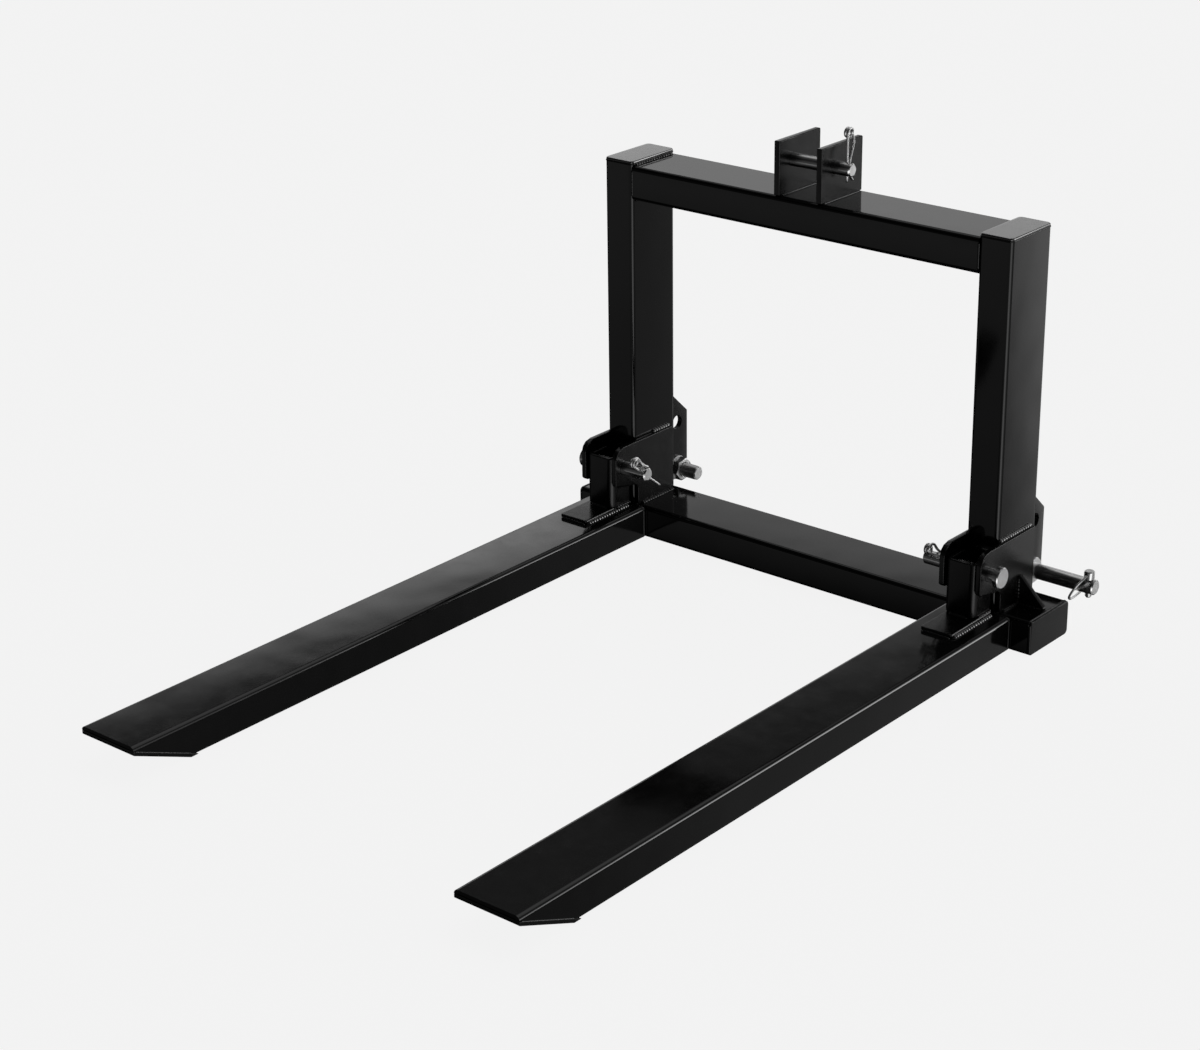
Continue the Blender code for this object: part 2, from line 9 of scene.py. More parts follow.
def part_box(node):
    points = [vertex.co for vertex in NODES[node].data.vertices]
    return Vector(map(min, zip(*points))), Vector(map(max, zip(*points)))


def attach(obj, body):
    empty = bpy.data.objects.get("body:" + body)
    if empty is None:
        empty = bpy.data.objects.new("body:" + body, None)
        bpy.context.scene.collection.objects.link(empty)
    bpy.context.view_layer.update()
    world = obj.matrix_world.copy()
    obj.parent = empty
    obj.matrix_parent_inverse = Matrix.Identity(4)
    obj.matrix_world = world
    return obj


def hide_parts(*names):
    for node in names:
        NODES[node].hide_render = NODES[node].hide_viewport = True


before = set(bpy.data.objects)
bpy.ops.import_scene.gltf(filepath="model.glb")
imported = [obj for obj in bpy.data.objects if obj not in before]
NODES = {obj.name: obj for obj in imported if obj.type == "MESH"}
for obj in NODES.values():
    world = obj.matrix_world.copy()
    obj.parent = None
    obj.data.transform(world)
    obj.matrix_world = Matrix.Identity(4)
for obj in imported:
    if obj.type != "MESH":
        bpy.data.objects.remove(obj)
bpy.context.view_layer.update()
SIDES = (("left", -1.0), ("right", 1.0))

# ---------------------------------------------------------------- driving sizes
WELD_R = 0.0038             # radius of a structural fillet bead
SEAM_R = 0.0013             # radius of the low bead that closes a cap seam
RIPPLE = 0.0056             # distance between the ripples of a bead
BEAD_STEP = 0.0007          # distance between two rings of a bead
BEAD_SIDES = 10
INSET = 0.0004              # seam beads sink this far below the surface

TUBE_R = 0.0065             # corner radius of the rectangular tube
TUBE_WALL = 0.005
TIP_RAMP = 0.092            # length of the ramp under a fork's tip
TIP_LIP = 0.039             # height of its underside at the front lip
CLIP_WIRE = (0.0019, 8)     # radius and facets of a spring clip's wire
RING_WIRE = (0.0016, 6)     # the same for a linchpin ring

THREAD_PITCH = 0.0020
THREAD_CORE = 0.01045
THREAD_CREST = 0.01105
THREAD_STEP = 0.0003        # distance between two rings of a thread
THREAD_SIDES = 40
NUT_FLAT = 0.0160           # centre to flat of the hitch pin nut
NUT_TURN = 10.0             # how far the nut is turned on its pin, degrees
NUT_SIDES = 96
NUT_BORE = 0.0112
NUT_SINK = 0.0012           # depth of the countersink

CAMERA_AT = Vector((2.09187, -2.93649, 1.57751))
CAMERA_AZIMUTH = 40.41
CAMERA_ELEVATION = 22.63
CAMERA_ROLL = -0.81
CAMERA_LENS = 79.55         # for a 36 mm wide sensor

FLOOR_TONE = 0.9216         # plain pale studio floor
FLOOR_GLOW = 0.875
FLOOR_ALBEDO = 0.085
FLOOR_R = 40.0

# Light by direction, as (component of the direction, level).
SKY = (
    (0.0, 0.90), (0.25, 0.62), (0.28, 0.72), (0.34, 0.57), (0.38, 0.50), (0.402, 0.48),
    (0.415, 0.30), (0.43, 0.12), (0.455, 0.070), (0.50, 0.085), (0.60, 0.10), (0.74, 0.60),
    (1.0, 0.8),
)
PANEL = (
    (0.345, 0.0), (0.372, 0.85), (0.386, 0.80), (0.399, 0.36), (0.413, 0.17), (0.428, 0.0),
)
ROOM = (
    (0.0, 0.03), (0.20, 0.05), (0.25, 0.21), (0.27, 0.20), (0.315, 0.155), (0.345, 0.145),
    (0.377, 0.125), (0.40, 0.10), (0.43, 0.05), (0.50, 0.03),
)
WALL = (
    (0.30, 0.30), (0.50, 0.35), (0.65, 0.28), (0.75, 0.12), (0.80, 0.080), (0.8275, 0.085),
    (0.85, 0.16), (0.8675, 0.17), (0.88, 0.23), (0.895, 0.22), (0.8985, 0.29), (0.904, 0.42),
    (0.91, 0.80), (0.95, 1.0),
)
# Soft round lights: aim, cosine where each starts, cosine where it is full, level.
LOBES = (
    ((0.80, -0.45, -0.33), 0.90, 0.99, 1.2),
    ((0.66, 0.74, 0.08), 0.980, 0.997, 5.0),
)


# ---------------------------------------------------------------- node helpers
class Graph:
    """Short names for building a material's or a world's node tree."""

    def __init__(self, tree):
        self.tree = tree

    def add(self, kind, **props):
        node = self.tree.nodes.new(kind)
        for key, value in props.items():
            setattr(node, key, value)
        return node

    def link(self, a, b):
        self.tree.links.new(a, b)

    def feed(self, value, socket):
        if isinstance(value, bpy.types.NodeSocket):
            self.link(value, socket)
        else:
            socket.default_value = value

    def math(self, operation, a, b=0.0, clamp=False):
        node = self.add("ShaderNodeMath", operation=operation, use_clamp=clamp)
        self.feed(a, node.inputs[0])
        self.feed(b, node.inputs[1])
        return node.outputs[0]

    def ramp(self, value, stops, interpolation="LINEAR"):
        """Grey ramp through (position, level) stops."""
        node = self.add("ShaderNodeValToRGB")
        ramp = node.color_ramp
        ramp.interpolation = interpolation
        while len(ramp.elements) > 1:
            ramp.elements.remove(ramp.elements[-1])
        ramp.elements[0].position = stops[0][0]
        ramp.elements[0].color = (stops[0][1],) * 3 + (1.0,)
        for position, level in stops[1:]:
            element = ramp.elements.new(position)
            element.color = (level, level, level, 1.0)
        self.link(value, node.inputs["Fac"])
        return node.outputs["Color"]

    def noise(self, coords, scale, detail=2.0, roughness=0.5):
        node = self.add("ShaderNodeTexNoise")
        node.inputs["Scale"].default_value = scale
        node.inputs["Detail"].default_value = detail
        node.inputs["Roughness"].default_value = roughness
        self.link(coords, node.inputs["Vector"])
        return node.outputs["Fac"]

    def span(self, value, low, high, to_low, to_high):
        node = self.add("ShaderNodeMapRange")
        self.link(value, node.inputs["Value"])
        node.inputs["From Min"].default_value = low
        node.inputs["From Max"].default_value = high
        node.inputs["To Min"].default_value = to_low
        node.inputs["To Max"].default_value = to_high
        return node.outputs["Result"]

    def mix(self, factor, a, b):
        node = self.add("ShaderNodeMix", data_type="RGBA")
        self.feed(factor, node.inputs[0])
        self.feed(a, node.inputs[6])
        self.feed(b, node.inputs[7])
        return node.outputs[2]

    def bump(self, height, strength, distance, normal=None):
        node = self.add("ShaderNodeBump")
        node.inputs["Strength"].default_value = strength
        node.inputs["Distance"].default_value = distance
        self.link(height, node.inputs["Height"])
        if normal is not None:
            self.link(normal, node.inputs["Normal"])
        return node.outputs["Normal"]


def grey(level):
    return (level, level, level, 1.0)


def new_graph(name):
    mat = bpy.data.materials.new(name)
    mat.use_nodes = True
    graph = Graph(mat.node_tree)
    shader = mat.node_tree.nodes["Principled BSDF"]
    coords = graph.add("ShaderNodeTexCoord").outputs["Object"]
    return mat, graph, shader, coords


# ---------------------------------------------------------------- finishes
def gloss_paint(name, roughness=0.085, ior=1.50, peel=0.016, wave=0.05, edge_wear_and_sheen=0.5, coat=0.0,
                tone=0.0038):
    """Gloss black paint: orange peel, slow waviness, faint dust, and lightened edges:
    the lightening is partly thin wear and partly a painted highlight.

    peel and wave are bump strengths, the argument after wave is how far the edges are
    lightened (partly wear, partly painted highlight), and coat adds a second, clearer layer.
    """
    mat, g, shader, coords = new_graph(name)
    fine = g.noise(coords, 520.0, 2.0)
    slow = g.noise(coords, 9.0, 1.0)
    blotch = g.noise(coords, 38.0, 4.0, 0.6)
    specks = g.noise(coords, 950.0, 1.0)
    up = g.add("ShaderNodeSeparateXYZ")
    g.link(g.add("ShaderNodeNewGeometry").outputs["Normal"], up.inputs[0])
    lying = g.span(up.outputs["Z"], 0.6, 1.0, 0.0, 1.0)
    dust = g.math("MULTIPLY", g.span(specks, 0.66, 0.74, 0.0, 1.0), lying)
    dust = g.math("MULTIPLY", dust, g.span(blotch, 0.50, 0.70, 0.0, 0.35))
    rounded = g.add("ShaderNodeBevel", samples=4)
    rounded.inputs["Radius"].default_value = 0.0011
    true_normal = g.add("ShaderNodeNewGeometry").outputs["True Normal"]
    facing = g.add("ShaderNodeVectorMath", operation="DOT_PRODUCT")
    g.link(rounded.outputs[0], facing.inputs[0])
    g.link(true_normal, facing.inputs[1])
    edge = g.span(facing.outputs["Value"], 0.995, 0.90, 0.0, 1.0)
    # Edges lightened in colour: partly thin wear, partly a painted highlight for the sheen that
    # rounded paint edges catch.
    worn_and_sheen = g.math("MULTIPLY", edge, g.span(blotch, 0.52, 0.66, 0.0, edge_wear_and_sheen), clamp=True)
    colour = g.mix(g.span(blotch, 0.3, 0.7, 0.0, 1.0), grey(tone * 0.8), grey(tone * 1.2))
    colour = g.mix(dust, colour, grey(0.10))
    # The edge lightening goes into the colour here, as wear and as a painted highlight.
    colour = g.mix(worn_and_sheen, colour, grey(0.045))
    g.link(colour, shader.inputs["Base Color"])
    rough = g.span(blotch, 0.25, 0.75, roughness * 0.80, roughness * 1.25)
    rough = g.math("ADD", rough, g.math("MULTIPLY", worn_and_sheen, 0.18))
    g.link(g.math("ADD", rough, g.math("MULTIPLY", dust, 0.3)), shader.inputs["Roughness"])
    shader.inputs["IOR"].default_value = ior
    shader.inputs["Coat Weight"].default_value = coat
    shader.inputs["Coat Roughness"].default_value = 0.18
    normal = g.bump(slow, wave, 0.010)
    normal = g.bump(fine, peel, 0.0006, normal)
    g.link(normal, shader.inputs["Normal"])
    return mat


def weld_paint(name, ior, coat):
    """The same paint drawn thin over a weld: lumpier, a little rougher."""
    mat, g, shader, coords = new_graph(name)
    lumps = g.noise(coords, 900.0, 3.0, 0.6)
    patch = g.noise(coords, 120.0, 2.0)
    g.link(g.mix(patch, grey(0.0035), grey(0.0080)), shader.inputs["Base Color"])
    g.link(g.span(patch, 0.3, 0.7, 0.12, 0.24), shader.inputs["Roughness"])
    shader.inputs["IOR"].default_value = ior
    shader.inputs["Coat Weight"].default_value = coat
    shader.inputs["Coat Roughness"].default_value = 0.12
    g.link(g.bump(lumps, 0.22, 0.0006), shader.inputs["Normal"])
    return mat


def zinc_plate(name, roughness=0.20, rings="X", tone=0.86):
    """Bright zinc: turned rings along one axis, cloudy passivation, tiny scratches."""
    mat, g, shader, coords = new_graph(name)
    cloud = g.noise(coords, 95.0, 3.0, 0.6)
    grit = g.noise(coords, 1500.0, 2.0)
    wave = g.add("ShaderNodeTexWave", wave_type="BANDS", bands_direction=rings)
    wave.inputs["Scale"].default_value = 520.0
    wave.inputs["Distortion"].default_value = 1.4
    g.link(coords, wave.inputs["Vector"])
    g.link(g.mix(cloud, grey(tone * 0.84), grey(tone * 1.10)), shader.inputs["Base Color"])
    shader.inputs["Metallic"].default_value = 1.0
    rough = g.span(cloud, 0.3, 0.7, roughness * 0.8, roughness * 1.3)
    lie = g.add("ShaderNodeSeparateXYZ")
    g.link(g.add("ShaderNodeNewGeometry").outputs["Normal"], lie.inputs[0])
    faced = g.span(g.math("ABSOLUTE", lie.outputs["X"]), 0.90, 0.97, 0.0, 0.28)
    g.link(g.math("ADD", rough, faced), shader.inputs["Roughness"])
    normal = g.bump(wave.outputs["Fac"], 0.12, 0.0002)
    g.link(g.bump(grit, 0.08, 0.0002, normal), shader.inputs["Normal"])
    return mat


TUBE_PAINT = gloss_paint("gloss_black_tube")
PLATE_PAINT = gloss_paint("gloss_black_plate", 0.23, 1.50, 0.03, 0.04)
CAP_PAINT = gloss_paint("gloss_black_cap", 0.20, 1.90, 0.04, 0.05, 0.5, 0.8)
FORK_PAINT = gloss_paint("gloss_black_fork", 0.095, 1.50, 0.016, 0.05, 0.8, tone=0.0075)
WELD = weld_paint("painted_weld", 1.52, 0.0)
BRIGHT_WELD = weld_paint("painted_weld_bright", 2.4, 1.0)
PIN_ZINC = zinc_plate("zinc_turned")
WIRE_ZINC = zinc_plate("zinc_wire", 0.28, "Z", 0.92)
THREAD_ZINC = zinc_plate("zinc_thread", 0.34, "X", 0.62)


# ---------------------------------------------------------------- smooth CAD nodes
def smooth_group(name, angle):
    """Geometry nodes: weld split corners, then shade smooth below an edge angle."""
    tree = bpy.data.node_groups.new(name, "GeometryNodeTree")
    tree.interface.new_socket("Geometry", in_out="INPUT", socket_type="NodeSocketGeometry")
    tree.interface.new_socket("Geometry", in_out="OUTPUT", socket_type="NodeSocketGeometry")
    g = Graph(tree)
    start = g.add("NodeGroupInput")
    end = g.add("NodeGroupOutput")
    plain = g.add("GeometryNodeRemoveAttribute")
    plain.inputs["Name"].default_value = "custom_normal"
    merge = g.add("GeometryNodeMergeByDistance")
    merge.inputs["Distance"].default_value = 0.000004
    faces = g.add("GeometryNodeSetShadeSmooth", domain="FACE")
    edges = g.add("GeometryNodeSetShadeSmooth", domain="EDGE")
    edges.inputs["Shade Smooth"].default_value = False
    bend = g.add("GeometryNodeInputMeshEdgeAngle")
    sharp = g.add("FunctionNodeCompare", data_type="FLOAT", operation="GREATER_THAN")
    sharp.inputs[1].default_value = math.radians(angle)
    soft = g.add("GeometryNodeSetShadeSmooth", domain="EDGE")
    g.link(bend.outputs["Unsigned Angle"], sharp.inputs[0])
    g.link(start.outputs[0], plain.inputs["Geometry"])
    g.link(plain.outputs[0], merge.inputs["Geometry"])
    g.link(merge.outputs[0], faces.inputs["Geometry"])
    g.link(faces.outputs[0], soft.inputs["Geometry"])
    g.link(soft.outputs[0], edges.inputs["Geometry"])
    g.link(sharp.outputs[0], edges.inputs["Selection"])
    g.link(edges.outputs[0], end.inputs[0])
    return tree


SMOOTH_PLATE = smooth_group("smooth_plates", 50.0)
SMOOTH_PIN = smooth_group("smooth_pins", 38.0)


def smooth(obj, group):
    mod = obj.modifiers.new("smooth", "NODES")
    mod.node_group = group
    weighted = obj.modifiers.new("flat_faces_stay_flat", "WEIGHTED_NORMAL")
    weighted.mode = "FACE_AREA"
    weighted.keep_sharp = True


def round_wire(obj, radius, sides):
    """Round off a faceted wire: swell it a little, then subdivide it back to size."""
    mod = obj.modifiers.new("smooth", "NODES")
    mod.node_group = SMOOTH_PIN
    shrink = (4.0 + 2.0 * math.cos(2.0 * math.pi / sides)) / 6.0
    swell = obj.modifiers.new("swell", "DISPLACE")
    swell.mid_level = 0.0
    swell.strength = radius * (1.0 / shrink - 1.0)
    fine = obj.modifiers.new("round", "SUBSURF")
    fine.levels = 2
    fine.render_levels = 2


def dress(prefix, material, group=SMOOTH_PLATE):
    for name, obj in NODES.items():
        if name.startswith(prefix):
            for slot in obj.material_slots:
                slot.material = material
            if group is not None:
                smooth(obj, group)


# ---------------------------------------------------------------- new pieces
def add_piece(name, bm, material, body, angle=60.0):
    mesh = bpy.data.meshes.new(name)
    bmesh.ops.recalc_face_normals(bm, faces=bm.faces[:])
    bm.to_mesh(mesh)
    bm.free()
    mesh.materials.append(material)
    mesh.shade_smooth()
    mesh.set_sharp_from_angle(angle=math.radians(angle))
    obj = bpy.data.objects.new(name, mesh)
    bpy.context.scene.collection.objects.link(obj)
    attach(obj, body)
    return obj


def bridge(bm, a, b, closed=True):
    count = len(a)
    for i in range(count if closed else count - 1):
        j = (i + 1) % count
        bm.faces.new((a[i], a[j], b[j], b[i]))


def resample(path, step, closed):
    """Even points [(place, outward, arc length)] along [(place, outward), ...]."""
    stops = list(path) + ([path[0]] if closed else [])
    lengths = [0.0]
    for (a, _), (b, _) in zip(stops[:-1], stops[1:]):
        lengths.append(lengths[-1] + (Vector(b) - Vector(a)).length)
    total = lengths[-1]
    count = max(6, int(round(total / step)))
    result = []
    leg = 0
    for k in range(count if closed else count + 1):
        s = total * k / count
        while leg < len(stops) - 2 and s > lengths[leg + 1]:
            leg += 1
        f = (s - lengths[leg]) / max(lengths[leg + 1] - lengths[leg], 1e-9)
        place = Vector(stops[leg][0]).lerp(Vector(stops[leg + 1][0]), f)
        out = Vector(stops[leg][1]).lerp(Vector(stops[leg + 1][1]), f).normalized()
        result.append((place, out, s))
    return result, total


def ripple_height(phase):
    """One weld ripple: a rounded coin with a sharp valley on each side."""
    f = 2.0 * (phase % 1.0) - 1.0
    return math.sqrt(1.0 - f * f)


def bead(name, path, radius, body, closed=False, ripple=0.42, material=None):
    """Weld bead along [(corner point, outward direction), ...], stacked-coin ripples."""
    rings_at, total = resample(path, BEAD_STEP, closed)
    count = len(rings_at)
    bm = bmesh.new()
    rings = []
    for k, (place, out, s) in enumerate(rings_at):
        before = rings_at[(k - 1) % count if closed else max(k - 1, 0)][0]
        after = rings_at[(k + 1) % count if closed else min(k + 1, count - 1)][0]
        along = (after - before).normalized()
        out = (out - along * out.dot(along)).normalized()
        side = along.cross(out)
        wander = noise.noise(place * 55.0)
        girth = radius * (1.0 + 0.16 * wander)
        if not closed:
            reach = min(s, total - s) / (radius * 1.2)
            girth *= max(0.12, math.sqrt(max(0.0, 1.0 - (1.0 - min(1.0, reach)) ** 2)))
        ring = []
        for i in range(BEAD_SIDES):
            a = 2.0 * math.pi * i / BEAD_SIDES
            lag = 0.16 * (1.0 - math.cos(a))
            lift = 1.0 + ripple * (ripple_height(s / RIPPLE - lag + 0.25 * wander) - 0.8)
            r = girth * lift
            ring.append(bm.verts.new(place + out * (r * math.cos(a)) + side * (r * math.sin(a))))
        rings.append(ring)
    for a, b in zip(rings[:-1], rings[1:]):
        bridge(bm, a, b)
    if closed:
        bridge(bm, rings[-1], rings[0])
    else:
        bm.faces.new(rings[0])
        bm.faces.new(rings[-1])
    return add_piece(name, bm, material or WELD, body, angle=80.0)


def line(a, b, out):
    out = Vector(out).normalized()
    return [(Vector(a), out), (Vector(b), out)]


def turn(corner, n_from, n_to, radius, steps=4):
    """Arc of seam points round a tube corner, from normal n_from to normal n_to."""
    n_from = Vector(n_from)
    n_to = Vector(n_to)
    centre = Vector(corner) - (n_from + n_to) * radius
    points = []
    for k in range(steps + 1):
        a = 0.5 * math.pi * k / steps
        out = n_from * math.cos(a) + n_to * math.sin(a)
        points.append((centre + out * (radius - INSET), out))
    return points


def seam(name, node, axis, at, corners, body, radius=SEAM_R):
    """Low bead round a rounded rectangle in the plane axis = at.

    corners picks which of the four corners the bead passes, in order; three or
    fewer leave the side that stands on the floor bare.
    """
    low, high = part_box(node)
    u, v = [i for i in range(3) if i != axis]
    loop = ((1, -1), (1, 1), (-1, 1), (-1, -1))
    path = []
    for index in corners:
        su, sv = loop[index]
        corner = Vector((0.0, 0.0, 0.0))
        corner[axis] = at
        corner[u] = high[u] if su > 0 else low[u]
        corner[v] = high[v] if sv > 0 else low[v]
        normal_u = Vector((0.0, 0.0, 0.0))
        normal_v = Vector((0.0, 0.0, 0.0))
        normal_u[u] = su
        normal_v[v] = sv
        first, second = (normal_v, normal_u) if su * sv < 0 else (normal_u, normal_v)
        path += turn(corner, first, second, TUBE_R)
    return bead(name, path, radius, body, closed=len(corners) == 4, ripple=0.08)


def spatter(name, spots, body, seed, count, reach=0.012):
    """Small droplets thrown beside welds; each spot is (centre, surface normal)."""
    rng = random.Random(seed)
    bm = bmesh.new()
    for centre, normal in spots:
        normal = Vector(normal).normalized()
        side = normal.orthogonal().normalized()
        other = normal.cross(side)
        for _ in range(count):
            a = rng.uniform(0.0, 2.0 * math.pi)
            d = reach * math.sqrt(rng.random())
            place = Vector(centre) + side * (d * math.cos(a)) + other * (d * math.sin(a))
            size = rng.uniform(0.0004, 0.0009)
            spin = normal.to_track_quat("Z", "Y").to_matrix().to_4x4()
            scale = Matrix.Diagonal((size, size, size * 0.7, 1.0))
            shape = Matrix.Translation(place) @ spin @ scale
            bmesh.ops.create_icosphere(bm, subdivisions=2, radius=1.0, matrix=shape)
    return add_piece(name, bm, WELD, body, angle=80.0)


# ---------------------------------------------------------------- frame welds
def post_faces(side):
    """x of a post's outer and inner faces."""
    low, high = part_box("post_" + ("right" if side > 0 else "left"))
    return (high.x, low.x) if side > 0 else (low.x, high.x)


def side_plate_welds(label, side):
    outer_x, inner_x = post_faces(side)
    for where, face, away in (("outer", outer_x, side), ("inner", inner_x, -side)):
        low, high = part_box("side_plate_%s_%s" % (label, where))
        name = "weld_%s_plate_%s_" % (label, where)
        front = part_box("post_" + label)[0].y + 0.003
        rear = high.y
        start = front + (0.0 if where == "outer" or side > 0 else 0.040)
        up_and_out = (away, 0.0, 1.0)
        path = line((face, start, high.z), (face, rear, high.z), up_and_out)
        bead(name + "top", path, WELD_R, "frame", material=BRIGHT_WELD)
        plate_out = high.x if away > 0 else low.x
        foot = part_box("base_beam")[1].z
        path = line((plate_out, front + 0.004, foot), (plate_out, rear, foot), up_and_out)
        bead(name + "foot", path, WELD_R * 0.92, "frame")
        path = line((face, rear, foot + 0.006), (face, rear, high.z), (away, 1.0, 0.0))
        bead(name + "rear", path, WELD_R * 0.85, "frame")
        toe_x = plate_out - away * 0.004
        toe_start = (toe_x, low.y + 0.0525, foot)
        toe_end = (toe_x, low.y + 0.0545, foot)
        path = line(toe_start, toe_end, (0.0, -1.0, 1.0))
        bead(name + "toe", path, WELD_R * 1.15, "frame", material=BRIGHT_WELD)


def post_welds(label, side):
    outer_x, inner_x = post_faces(side)
    low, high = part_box("post_" + label)
    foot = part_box("base_beam")[1].z
    plate_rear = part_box("side_plate_%s_outer" % label)[1].y + 0.004
    for where, x, away in (("outer", outer_x, side), ("inner", inner_x, -side)):
        path = line((x, plate_rear, foot), (x, high.y - TUBE_R, foot), (away, 0.0, 1.0))
        bead("weld_%s_post_foot_%s" % (label, where), path, WELD_R, "frame")
    for where, y, away, size in (("front", low.y, -1.0, 0.7), ("rear", high.y, 1.0, 1.3)):
        a = (low.x + TUBE_R, y - away * INSET * 2.0, foot)
        b = (high.x - TUBE_R, y - away * INSET * 2.0, foot)
        path = line(a, b, (0.0, away, 0.0))
        name = "weld_%s_post_foot_%s" % (label, where)
        bead(name, path, SEAM_R * size, "frame", ripple=0.10)
    beam_low, beam_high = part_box("top_beam")
    y0 = beam_low.y + TUBE_R
    y1 = beam_high.y - TUBE_R
    for where, z, lift in (("top", beam_high.z, 1.0), ("under", beam_low.z, -1.0)):
        path = line((inner_x, y0, z), (inner_x, y1, z), (-side, 0.0, lift))
        bead("weld_%s_beam_%s" % (label, where), path, WELD_R * 0.85, "frame")
    for where, y, away in (("front", beam_low.y, -1.0), ("rear", beam_high.y, 1.0)):
        x = inner_x - side * 0.0002
        a = (x, y - away * INSET * 2.0, beam_low.z + TUBE_R)
        b = (x, y - away * INSET * 2.0, beam_high.z - TUBE_R)
        path = line(a, b, (0.0, away, 0.0))
        bead("weld_%s_beam_%s" % (label, where), path, SEAM_R * 1.3, "frame", ripple=0.10)
    cap_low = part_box("post_cap_" + label)[0]
    seam("weld_%s_post_cap" % label, "post_" + label, 2, (high.z + cap_low.z) / 2.0,
         (0, 1, 2, 3), "frame")


def base_cap_welds(label, side):
    beam_low, beam_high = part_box("base_beam")
    cap_low, cap_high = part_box("base_beam_cap_" + label)
    if side > 0:
        at = (beam_high.x + cap_low.x) / 2.0
    else:
        at = (beam_low.x + cap_high.x) / 2.0
    seam("weld_%s_base_cap" % label, "base_beam_cap_" + label, 0, at, (1, 2), "frame")


def gusset_welds(label, side):
    low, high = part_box("gusset_" + label)
    inner, outer = (low.x, high.x) if side > 0 else (high.x, low.x)
    for where, y, away in (("front", low.y, -1.0), ("rear", high.y, 1.0)):
        up = line((inner, y, low.z + 0.006), (inner, y, high.z - 0.003), (side, away, 0.0))
        bead("weld_%s_gusset_%s_up" % (label, where), up, WELD_R * 0.7, "frame")
        root = (inner + side * 0.006, y, low.z)
        tip = (outer - side * 0.003, y, low.z)
        foot = line(root, tip, (0.0, away, 1.0))
        bead("weld_%s_gusset_%s_foot" % (label, where), foot, WELD_R * 0.7, "frame")


def lug_welds(label):
    low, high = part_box("hitch_lug_" + label)
    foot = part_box("base_beam")[1].z
    for where, x, away in (("right", high.x, 1.0), ("left", low.x, -1.0)):
        path = line((x, low.y, foot + 0.002), (x, low.y, high.z - 0.004), (away, 1.0, 0.0))
        bead("weld_%s_lug_%s" % (label, where), path, WELD_R, "frame")


def ear_welds(label):
    low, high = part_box("top_link_ear_" + label)
    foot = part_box("top_beam")[1].z
    for where, x, away in (("right", high.x, 1.0), ("left", low.x, -1.0)):
        path = line((x, low.y + 0.005, foot), (x, high.y - 0.005, foot), (away, 0.0, 1.0))
        bead("weld_%s_ear_%s" % (label, where), path, WELD_R * 0.5, "frame", ripple=0.2)


# ---------------------------------------------------------------- fork welds
def fork_welds(label):
    """Pad, bracket and heel beads; the pad's left edge stays bare on both forks."""
    body = "fork_" + label
    pad_low, pad_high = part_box("fork_pad_" + label)
    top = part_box("fork_tube_" + label)[1].z
    a = (pad_high.x, pad_low.y + 0.004, top)
    b = (pad_high.x, pad_high.y - 0.002, top)
    path = line(a, b, (1.0, 0.0, 1.0))
    bead("weld_%s_pad_right" % body, path, WELD_R * 1.1, body, material=BRIGHT_WELD)
    a = (pad_low.x + 0.004, pad_low.y, top)
    b = (pad_high.x - 0.002, pad_low.y, top)
    bead("weld_%s_pad_front" % body, line(a, b, (0.0, -1.0, 1.0)), WELD_R * 0.8, body)
    low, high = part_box("fork_bracket_" + label)
    pad_top = pad_high.z
    a = (low.x + 0.010, low.y, pad_top)
    b = (high.x - 0.010, low.y, pad_top)
    bead("weld_%s_web" % body, line(a, b, (0.0, -1.0, 1.0)), WELD_R * 0.85, body)
    for where, x, away in (("right", high.x, 1.0), ("left", low.x, -1.0)):
        path = line((x, low.y + 0.010, pad_top), (x, high.y, pad_top), (away, 0.0, 1.0))
        bead("weld_%s_flange_%s" % (body, where), path, WELD_R * 0.6, body)
    cap_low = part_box("fork_heel_cap_" + label)[0]
    tube_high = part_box("fork_tube_" + label)[1]
    at = (tube_high.y + cap_low.y) / 2.0
    seam("weld_%s_heel" % body, "fork_heel_cap_" + label, 1, at, (1, 2), body)


def tip_weld(label):
    """Bead that closes the ramp plate to the tube along both flanks."""
    body = "fork_" + label
    low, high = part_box("fork_tip_plate_" + label)
    slope = TIP_LIP / TIP_RAMP
    lift = TUBE_WALL * math.hypot(1.0, slope)
    for where, x, away in (("right", high.x, 1.0), ("left", low.x, -1.0)):
        a = (x - away * INSET * 2.0, low.y + 0.002, TIP_LIP + lift - 0.002 * slope)
        b = (x - away * INSET * 2.0, low.y + TIP_RAMP, lift)
        path = line(a, b, (away, 0.0, 0.0))
        bead("weld_%s_tip_%s" % (body, where), path, SEAM_R * 1.1, body, ripple=0.08)


# ---------------------------------------------------------------- hitch hardware
def hitch_axis(label):
    low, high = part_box("hitch_washer_" + label)
    return (low.y + high.y) / 2.0, (low.z + high.z) / 2.0


def thread(label, side):
    """Helical thread on the inner end of a hitch pin, running out at both ends."""
    pin_low, pin_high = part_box("hitch_pin_" + label)
    nut_low, nut_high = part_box("hitch_nut_" + label)
    tip = pin_low.x if side > 0 else pin_high.x
    end = nut_low.x if side > 0 else nut_high.x
    x0 = tip + side * 0.0018
    x1 = end - side * 0.0002
    cy, cz = hitch_axis(label)
    steps = int(abs(x1 - x0) / THREAD_STEP)
    bm = bmesh.new()
    rings = []
    for k in range(steps + 1):
        f = k / steps
        x = x0 + (x1 - x0) * f
        fade = min(1.0, 8.0 * f + 0.02, 8.0 * (1.0 - f) + 0.02)
        ring = []
        for i in range(THREAD_SIDES):
            a = 2.0 * math.pi * i / THREAD_SIDES
            phase = (x / THREAD_PITCH + i / THREAD_SIDES) % 1.0
            crest = 1.0 - abs(2.0 * phase - 1.0)
            r = THREAD_CORE + (THREAD_CREST - THREAD_CORE) * crest * fade
            ring.append(bm.verts.new((x, cy + r * math.cos(a), cz + r * math.sin(a))))
        rings.append(ring)
    for a, b in zip(rings[:-1], rings[1:]):
        bridge(bm, a, b)
    bm.faces.new(rings[0])
    bm.faces.new(rings[-1])
    add_piece("hitch_thread_" + label, bm, THREAD_ZINC, "frame", 80.0)


